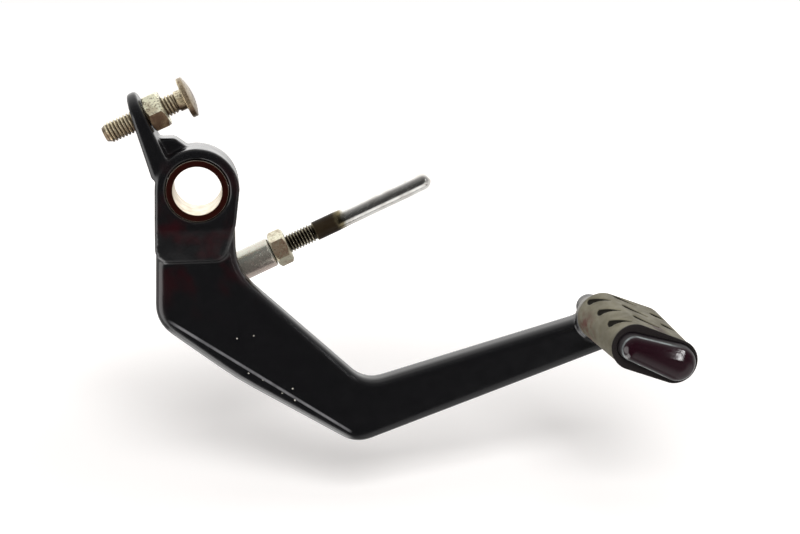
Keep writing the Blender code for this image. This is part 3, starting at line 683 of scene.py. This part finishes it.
def grey_rubber():
    """Blotched grey rubber with painted shade in its slots, soil low at the rear, a stain by the lip and
    painted shade on its rim at the open end.
    """
    look = Finish("toe_rubber_finish", specular=0.3)
    blotch = look.ramp(look.noise(5.0 * MM), 0.35, 0.7)
    colour = look.mix(blotch, RUBBER_DARK, RUBBER_PALE)
    soil = look.ramp(look.noise(3.0 * MM, 4.0), 0.42, 0.62)
    low_rear = look.ramp(look.distance(SOIL_PLACE), *SOIL_REACH, 1.0, 0.0)
    colour = look.mix(look.times(soil, low_rear), colour, RUBBER_SOIL)
    ragged = look.times(look.noise(1.6 * MM, 4.0), STAIN_RAGGED)
    by_lip = look.ramp(look.plus(look.distance(STAIN_PLACE), ragged), *STAIN_REACH)
    colour = look.mix(look.times(by_lip, 0.85), colour, RUBBER_STAIN)
    pits = look.tree.nodes.new("ShaderNodeAttribute")
    pits.attribute_name = "tread"
    slots = pits.outputs["Fac"]
    # Painted shade: the slots are drawn dark
    colour = look.mix(look.ramp(slots, 0.1, 0.6), colour, RUBBER_SLOT_SHADE)
    # Painted shade: the rim at the open end is drawn near black
    ragged = look.times(look.noise(4.0 * MM), RIM_RAGGED)
    rim_shade = look.ramp(look.plus(look.part("Y"), ragged), *RIM_Y)
    colour = look.mix(rim_shade, colour, RUBBER_RIM_SHADE)
    dull = look.math("MAXIMUM", slots, rim_shade)
    look.give("Specular IOR Level", look.ramp(dull, 0.0, 1.0, 0.3, 0.04))
    look.bump(look.noise(0.35 * MM, 3.0), 0.06 * MM, 0.6)
    return look.finish(colour, look.wander(2.0 * MM, 0.55, 0.75))


def plated_with_painted_light(name, axis, plating, rough=PLATING_ROUGHNESS, metallic=PLATING_METALLIC, dull_from=None):
    """Old zinc plating with painted light: a lit colour on its upper sides, painted shade on its under sides
    and a painted reflection on its outward faces, and brown in thread grooves.

    From dull_from on along the axis it takes mostly the painted shade colour of its under side.
    """
    top, under, front, size = plating
    look = Finish(name, metallic=metallic)
    # Painted light: upper sides get a lit colour, under sides a shaded one
    colour = look.mix(look.ramp(look.part("Z", look.normal), -0.35, 0.45), under, top)
    outward = look.ramp(look.part("Y", look.normal), -0.90, -0.99)
    # Painted reflection: faces turned outward get their own colour
    colour = look.mix(look.times(outward, 0.8), colour, front)
    blotch = look.ramp(look.noise(size, 5.0), 0.42, 0.66)
    colour = look.mix(look.times(blotch, 0.55), colour, front)
    specks = look.ramp(look.noise(size / 4, 4.0), 0.48, 0.66)
    colour = look.mix(look.times(specks, 0.7), colour, under)
    colour = look.mix(look.times(look.groove(axis), 0.85), colour, ZINC_GROOVE)
    if dull_from is not None:
        dull = look.ramp(look.axis_place(axis), dull_from, dull_from + DULL_RUN)
        colour = look.mix(look.times(dull, 0.7), colour, under)
    look.bump(look.noise(0.3 * MM, 4.0), 0.03 * MM, 0.6)
    return look.finish(colour, look.wander(size / 2, *rough, 4.0))


def rod_steel(axis):
    """Bright shaft and nose, a dark stained neck, and an olive thread."""
    look = Finish("rod_finish")
    along = look.axis_place(axis)
    ragged = look.times(look.noise(2.0 * MM), ROD_STAIN_RAGGED)
    neck = look.times(
        look.ramp(along, *ROD_STAIN_START),
        look.ramp(look.plus(along, ragged), *ROD_STAIN_END),
        look.wander(2.5 * MM, 0.96, 1.0, 4.0),
    )
    threaded = look.ramp(along, *ROD_THREAD_FADE)
    colour = look.mix(look.ramp(look.noise(3.0 * MM, 4.0), 0.4, 0.7), ROD_BRIGHT, ROD_DULL)
    colour = look.mix(threaded, colour, ROD_THREAD)
    colour = look.mix(look.ramp(neck, 0.0, 0.6), colour, ROD_OLIVE)
    colour = look.mix(look.ramp(neck, 0.5, 1.0), colour, ROD_NECK)
    colour = look.mix(look.times(threaded, look.groove(axis), 0.95), colour, ROD_GROOVE)
    look.give("Metallic", look.ramp(neck, 0.7, 1.0, 1.0, 0.0))
    look.give("Specular IOR Level", look.ramp(neck, 0.0, 1.0, 0.5, 0.07))
    look.bump(look.noise(0.4 * MM, 3.0), 0.02 * MM, 0.4)
    return look.finish(colour, look.wander(1.5 * MM, 0.13, 0.24, 4.0))


def sleeve_steel():
    """Pale bore, and end faces dark with old grease."""
    look = Finish("sleeve_finish", specular=0.2)
    ends = look.ramp(look.math("ABSOLUTE", look.part("Y")), *SLEEVE_GREASE)
    grease = look.mix(look.noise(1.5 * MM, 4.0), GREASE_DARK, GREASE_BROWN)
    wall = look.mix(look.ramp(look.noise(3.0 * MM, 4.0), 0.4, 0.7), SLEEVE_PALE, SLEEVE_BROWN)
    look.give("Metallic", look.minus(1.0, ends))
    look.give("Specular IOR Level", look.ramp(ends, 0.0, 1.0, 0.4, 0.02))
    return look.finish(look.mix(ends, wall, grease), look.wander(2.0 * MM, 0.3, 0.45))


def black_rubber():
    look = Finish("ring_rubber_finish", specular=0.3)
    tone = look.mix(look.noise(1.0 * MM), RING_BLACK, RING_GREY)
    return look.finish(tone, look.wander(0.6 * MM, 0.5, 0.7))


def wear(piece, material, body, node):
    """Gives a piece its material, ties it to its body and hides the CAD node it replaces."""
    piece.data.materials.append(material)
    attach(piece, body)
    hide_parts(node)
    return piece


def repaint(node, material):
    """Gives a CAD node that is shown as it is another material."""
    node.data.materials.clear()
    node.data.materials.append(material)


def oval_section(rear, rear_r, front, front_r):
    """Even points round two unlike circles and their tangents, from the rear over the top to the front.

    Each is (place along the section from the rear tangent, point, outward normal).
    """
    along = front - rear
    heading = math.atan2(along.y, along.x)
    lean = math.acos((rear_r - front_r) / along.length)
    flat = along.length * math.sin(lean)
    front_arc = 2 * lean * front_r
    rear_arc = 2 * (math.pi - lean) * rear_r
    total = 2 * flat + front_arc + rear_arc
    upper = heading + lean
    lower = heading - lean
    points = []
    for k in range(RUBBER_ROUND_STEPS):
        walk = total * k / RUBBER_ROUND_STEPS
        place = walk if walk < total / 2 else walk - total
        if walk < flat:
            share, angle = walk / flat, upper
        elif walk < flat + front_arc:
            share, angle = 1.0, upper - (walk - flat) / front_r
        elif walk < 2 * flat + front_arc:
            share, angle = 1.0 - (walk - flat - front_arc) / flat, lower
        else:
            share, angle = 0.0, lower - (walk - 2 * flat - front_arc) / rear_r
        normal = Vector((math.cos(angle), math.sin(angle)))
        radius = rear_r + (front_r - rear_r) * share
        points.append((place, rear.lerp(front, share) + normal * radius, normal))
    return points


def smooth(share):
    """Smooth step from 0 to 1."""
    share = min(1.0, max(0.0, share))
    return share * share * (3 - 2 * share)


def slot_depth(place, y):
    """How deep the tread is cut at a place round the section."""
    deepest = 0.0
    for start, run, first, slant, wide, narrow in SLOT_COLUMNS:
        walk = min(run, max(0.0, place - start))
        half = wide + (narrow - wide) * walk / run
        past = place - start - walk
        for row in range(SLOT_ROWS):
            off = y - (first - row * SLOT_PITCH + slant * walk)
            off /= math.sqrt(1 + slant * slant)
            gap = math.hypot(off, past)
            deepest = max(deepest, SLOT_DEPTH * smooth((half - gap) / SLOT_WALL + 0.5))
    return deepest


def toe_rubber():
    """Rubber sleeve on the peg, with slots in its tread and a lip at the open end."""
    low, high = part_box("toe_rubber")
    front, rear = low.y, high.y
    ahead = (PEG_FRONT - PEG_REAR).normalized()
    below = Vector((ahead.y, -ahead.x)) * RUBBER_DROP
    rear_circle = PEG_REAR + ahead * RUBBER_REAR_AHEAD + below
    front_circle = PEG_FRONT + ahead * RUBBER_FRONT_AHEAD + below
    depths = []

    def slanted(at, y):
        reach = y - PEG_END_Y
        return Vector((at.x - PEG_LEAN * reach, y, at.y + PEG_DROOP * reach))

    def ring(y, out, tread=False):
        """A ring of the outer skin, moved out of the wall."""
        share = (y - front) / (rear - front)
        section = oval_section(
            rear_circle, PEG_REAR_R + RUBBER_REAR_WALL + RUBBER_REAR_SWELL * share,
            front_circle, PEG_FRONT_R + RUBBER_FRONT_WALL + RUBBER_FRONT_SWELL * share)
        points = []
        for place, point, normal in section:
            depth = slot_depth(place, y) if tread else 0.0
            depths.append(depth)
            points.append(slanted(point + normal * (out - depth), y))
        return points

    def inside(y):
        """A ring of the bore."""
        bore = oval_section(PEG_REAR, PEG_REAR_R + RUBBER_FIT, PEG_FRONT, PEG_FRONT_R + RUBBER_FIT)
        depths.extend([0.0] * len(bore))
        return [slanted(point, y) for _, point, _ in bore]

    edge = RUBBER_EDGE
    edge_turns = [math.pi / 2 * k / EDGE_STEPS for k in range(EDGE_STEPS + 1)]
    rings = [inside(rear)]
    for turn in edge_turns:
        rings.append(ring(rear - edge * (1 - math.cos(turn)), -edge * (1 - math.sin(turn))))
    long_start = rear - edge
    long_end = front + edge
    for k in range(1, RUBBER_LONG_STEPS):
        y = long_start + (long_end - long_start) * k / RUBBER_LONG_STEPS
        swell = smooth((long_end + RUBBER_LIP_RUN - y) / RUBBER_LIP_RUN)
        rings.append(ring(y, RUBBER_LIP * swell, True))
    for turn in edge_turns:
        rings.append(ring(front + edge * (1 - math.sin(turn)), RUBBER_LIP - edge * (1 - math.cos(turn))))
    rings.append(inside(front))
    piece = loft("toe_rubber_fine", rings, closed=True)
    tread = piece.data.attributes.new("tread", "FLOAT", "POINT")
    tread.data.foreach_set("value", [depth / SLOT_DEPTH for depth in depths])
    return shade(piece, RUBBER_SHARP_ANGLE)


def nut(name, node, axis, twist=0.0):
    """Hexagon lock nut with chamfered ends and a plain hole."""
    start, end = axis.span(node)
    flat = NUT_ACROSS_FLATS / 2
    corner = NUT_ACROSS_FLATS / math.sqrt(3)
    face = flat * NUT_FACE
    hole = THREAD_R + NUT_FIT
    mouth = hole + NUT_MOUTH

    def hexagon(limit):
        def radius(angle):
            turn = (angle + twist + math.pi / 6) % (math.pi / 3) - math.pi / 6
            return min(flat / math.cos(math.pi / 6 - abs(turn)), limit)
        return radius

    shares = [k / NUT_CHAMFER_STEPS for k in range(NUT_CHAMFER_STEPS + 1)]
    profile = [(start + NUT_MOUTH, hole), (start, mouth)]
    for share in shares:
        profile.append((start + NUT_CHAMFER * share, hexagon(face + (corner - face) * share)))
    for share in reversed(shares):
        profile.append((end - NUT_CHAMFER * share, hexagon(face + (corner - face) * share)))
    profile += [(end, mouth), (end - NUT_MOUTH, hole)]
    piece = turned(name, axis, profile, NUT_STEPS, closed=True)
    return shade(piece, NUT_SHARP_ANGLE)


def bolt_head_start(node, axis):
    """Where the bolt's head starts along its axis."""
    return axis.span(node)[1] - BOLT_HEAD_RIM - BOLT_HEAD_DOME


def stop_bolt(node, axis):
    """Bolt with a thread, a plain shoulder and a low domed head."""
    start = axis.span(node)[0]
    head_r = axis.reach(node)
    root = THREAD_R - THREAD_DEPTH
    head = bolt_head_start(node, axis)
    shoulder = head - BOLT_SHOULDER
    profile = [(start, root - BOLT_POINT_DROP)]
    profile += thread(start + BOLT_POINT, shoulder - BOLT_POINT / 2)
    profile += [(shoulder, THREAD_R), (head - BOLT_EDGE, THREAD_R), (head, THREAD_R + BOLT_EDGE)]
    profile += arc(head + BOLT_EDGE, head_r - BOLT_EDGE, BOLT_EDGE, 180.0, 90.0)
    top = head + BOLT_HEAD_RIM
    profile += arc(top - BOLT_EDGE, head_r - BOLT_EDGE, BOLT_EDGE, 90.0, BOLT_DOME_ANGLE)
    for k in range(1, DOME_STEPS):
        share = k / DOME_STEPS
        radius = (head_r - BOLT_EDGE) * (1 - share)
        profile.append((top + BOLT_HEAD_DOME * (1 - (1 - share) ** 2), radius))
    return shade(turned("stop_bolt_fine", axis, profile, THREAD_STEPS))


def push_rod(node, axis):
    """Rod with a thread, a neck, a plain shaft and a round nose."""
    start, end = axis.span(node)
    root = THREAD_R - THREAD_DEPTH
    tip = end - ROD_TIP_LENGTH
    profile = [(start, root), (ROD_THREAD_START - THREAD_PITCH, root)]
    profile += thread(ROD_THREAD_START, ROD_THREAD_END - ROD_THREAD_RUNOUT)
    profile += [(ROD_THREAD_END, ROD_NECK_R), (ROD_NECK_END, ROD_NECK_R)]
    profile += [(ROD_NECK_END + ROD_NECK_R, ROD_SHAFT_R), (tip - ROD_SHAFT_R, ROD_SHAFT_R)]
    profile += [(tip, ROD_TIP_R), (end - ROD_TIP_R, ROD_TIP_R)]
    for k in range(1, DOME_STEPS):
        turn = math.pi / 2 * k / DOME_STEPS
        profile.append((end - ROD_TIP_R + ROD_TIP_R * math.sin(turn), ROD_TIP_R * math.cos(turn)))
    return shade(turned("push_rod_fine", axis, profile, THREAD_STEPS))


def pivot_sleeve(node, axis):
    """Plain bush with rounded edges."""
    start, end = axis.span(node)
    low, high = start + SLEEVE_EDGE, end - SLEEVE_EDGE
    inner, outer = SLEEVE_BORE_R + SLEEVE_EDGE, axis.reach(node) - SLEEVE_EDGE
    profile = arc(low, inner, SLEEVE_EDGE, 270.0, 180.0)
    profile += arc(low, outer, SLEEVE_EDGE, 180.0, 90.0)
    profile += arc(high, outer, SLEEVE_EDGE, 90.0, 0.0)
    profile += arc(high, inner, SLEEVE_EDGE, 0.0, -90.0)
    return shade(turned("pivot_sleeve_fine", axis, profile, SLEEVE_STEPS, closed=True))


def make_pieces(frame):
    """Makes the fine pieces and gives the CAD nodes that stay their finishes."""
    nodes = frame["nodes"]
    joints = {joint["name"]: joint for joint in frame["joints"]}
    pivot_axis = Axis(joints["pedal_swing"]["pos_m"], joints["pedal_swing"]["axis"])
    bolt_axis = Axis(joints["stop_nut_spin"]["pos_m"], joints["stop_bolt_adjust"]["axis"])
    rod_axis = Axis(joints["rod_joint_swing"]["pos_m"], joints["push_rod_adjust"]["axis"])

    head = bolt_head_start(nodes["stop_bolt"], bolt_axis)
    zinc = plated_with_painted_light("old_zinc_painted_light_finish", bolt_axis, BOLT_PLATING_PAINTED_LIGHT, dull_from=head)
    nut_zinc = plated_with_painted_light("nut_zinc_painted_light_finish", bolt_axis, NUT_PLATING_PAINTED_LIGHT)
    pale = plated_with_painted_light("pale_zinc_painted_light_finish", rod_axis, PALE_PLATING_PAINTED_LIGHT)
    joint = plated_with_painted_light("joint_steel_painted_light_finish", rod_axis, JOINT_PLATING_PAINTED_LIGHT, JOINT_ROUGHNESS, JOINT_METALLIC)
    rod = rod_steel(rod_axis)
    ring = black_rubber()

    lever = softened(nodes["lever_body"], "lever_painted", LEVER_VOXEL, LEVER_SMOOTHING)
    dome_peg(lever)
    wear(lever, black_paint(), "lever", "lever_body")
    rubber = toe_rubber()
    wear(rubber, grey_rubber(), "lever", "toe_rubber")
    bolt = stop_bolt(nodes["stop_bolt"], bolt_axis)
    wear(bolt, zinc, "stop_bolt", "stop_bolt")
    bolt_nut = nut("stop_lock_nut_fine", nodes["stop_lock_nut"], bolt_axis)
    wear(bolt_nut, nut_zinc, "stop_lock_nut", "stop_lock_nut")
    shaft = push_rod(nodes["push_rod"], rod_axis)
    wear(shaft, rod, "push_rod", "push_rod")
    rod_nut = nut("push_rod_lock_nut_fine", nodes["push_rod_lock_nut"], rod_axis, ROD_NUT_TURN)
    wear(rod_nut, pale, "push_rod_lock_nut", "push_rod_lock_nut")
    sleeve = pivot_sleeve(nodes["pivot_sleeve"], pivot_axis)
    wear(sleeve, sleeve_steel(), "pivot_sleeve", "pivot_sleeve")
    eye = softened(nodes["push_rod_joint"], "push_rod_joint_fine", ROD_JOINT_VOXEL, ROD_JOINT_SMOOTHING)
    wear(eye, joint, "push_rod_joint", "push_rod_joint")

    repaint(nodes["outer_grease_ring"], ring)
    repaint(nodes["inner_grease_ring"], ring)
    repaint(nodes["joint_pin"], joint)
    repaint(nodes["joint_washer"], pale)
    repaint(nodes["split_pin"], pale)


def make_floor(height):
    """White floor, self-lit for the camera, the more so far off.

    Shiny surfaces see the studio's ground instead of it.
    """
    half = FLOOR_SIZE / 2
    outline = ((-half, -half), (half, -half), (half, half), (-half, half))
    corners = [Vector((x, y, height)) for x, y in outline]
    floor = new_piece("floor", corners, [(0, 1, 2, 3)])
    floor.visible_glossy = False
    look = Finish("floor_finish", specular=0.1)
    seen = look.tree.nodes.new("ShaderNodeLightPath").outputs["Is Camera Ray"]
    away = look.distance((FLOOR_MIDDLE_X, 0.0, height))
    glow = look.ramp(away, FLOOR_NEAR, FLOOR_FAR, FLOOR_GLOW, FLOOR_GLOW_FAR)
    look.give("Emission Color", FLOOR_GLOW_COLOUR)
    look.give("Emission Strength", look.times(seen, glow))
    floor.data.materials.append(look.finish((*FLOOR_TONE, 1.0), FLOOR_ROUGHNESS))


def area_light(name, place, target, size, power, up=Vector((1.0, 0.0, 0.0))):
    """A lamp that no camera sees; its height lies along up."""
    data = bpy.data.lights.new(name, "AREA")
    data.shape = "RECTANGLE"
    data.size, data.size_y = size
    data.energy = power
    lamp = link(bpy.data.objects.new(name, data))
    lamp.location = place
    lamp.visible_camera = False
    side = up.cross(Vector(place) - Vector(target)).normalized()
    lamp.rotation_euler = Matrix((side, up, side.cross(up))).transposed().to_euler()
    return lamp


class Studio(Nodes):
    """The world's brightness as a sum of soft steps over the direction."""

    def __init__(self):
        world = bpy.data.worlds.new("studio")
        bpy.context.scene.world = world
        world.use_nodes = True
        super().__init__(world.node_tree)
        self.background = self.tree.nodes["Background"]
        self.direction = self.tree.nodes.new("ShaderNodeTexCoord").outputs["Generated"]

    def angle(self, middle):
        """Degrees between the direction and a middle one."""
        facing = self.compare("DOT_PRODUCT", self.direction, Vector(middle).normalized())
        return self.math("DEGREES", self.math("ARCCOSINE", facing))

    def stair(self, value, stops):
        """Brightness that passes smoothly through the stops of (angle, level)."""
        total = stops[0][1]
        for (low, before), (high, after) in zip(stops, stops[1:]):
            rise = self.times(self.ramp(value, low, high), after - before)
            total = self.plus(total, rise)
        return total


def make_world():
    """White for the camera, even for dull surfaces, and dark with bright fields for shiny ones."""
    studio = Studio()
    angle = studio.angle(DARK_MIDDLE)
    above = studio.ramp(studio.angle((0.0, 0.0, -1.0)), *HORIZON)
    below = studio.minus(1.0, above)
    sky = studio.times(studio.stair(angle, SKY_STOPS), above)
    ground = studio.times(studio.stair(angle, GROUND_STOPS), below)
    level = studio.plus(sky, ground)
    for direction, half, brightness in WINDOWS:
        away = studio.angle(direction)
        shine = studio.ramp(away, half * (1 + WINDOW_BLUR), half * (1 - WINDOW_BLUR))
        level = studio.plus(level, studio.times(shine, brightness))
    ray = studio.tree.nodes.new("ShaderNodeLightPath").outputs
    level = studio.times(level, ray["Is Glossy Ray"])
    room = studio.times(ray["Is Diffuse Ray"], ROOM_LEVEL)
    level = studio.plus(studio.plus(level, room), ray["Is Camera Ray"])
    studio.feed(studio.background.inputs["Color"], STUDIO_TINT)
    studio.feed(studio.background.inputs["Strength"], level)


def make_lamps():
    for name, place, width, power in SOFT_LAMPS:
        lamp = area_light(name, place, LAMP_TARGET, (width, width), power)
        lamp.visible_glossy = False
    for k, (low, high) in enumerate(zip(STRIP_POINTS, STRIP_POINTS[1:])):
        length = (high - low).length
        power = math.pi * STRIP_RADIANCE * STRIP_WIDTH * length
        strip = area_light("peg_strip_%d" % k, (low + high) / 2, STRIP_TARGET, (STRIP_WIDTH, length), power,
                           (high - low).normalized())
        strip.visible_diffuse = False


def make_camera():
    data = bpy.data.cameras.new("photo_camera")
    data.lens = CAMERA_LENS
    data.sensor_width = CAMERA_SENSOR
    data.clip_start, data.clip_end = CAMERA_CLIP
    camera = link(bpy.data.objects.new("photo_camera", data))
    camera.location = CAMERA_PLACE
    flat = math.cos(CAMERA_PITCH)
    aim = Vector((math.sin(CAMERA_YAW) * flat, math.cos(CAMERA_YAW) * flat, -math.sin(CAMERA_PITCH)))
    camera.rotation_euler = aim.to_track_quat("-Z", "Y").to_euler()
    bpy.context.scene.camera = camera


for item in list(bpy.data.objects):
    bpy.data.objects.remove(item, do_unlink=True)
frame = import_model()
cad_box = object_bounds()
make_camera()
make_pieces(frame)
make_floor(cad_box[0].z - FLOOR_DROP)
make_world()
make_lamps()
bpy.context.scene.view_settings.view_transform = "Standard"
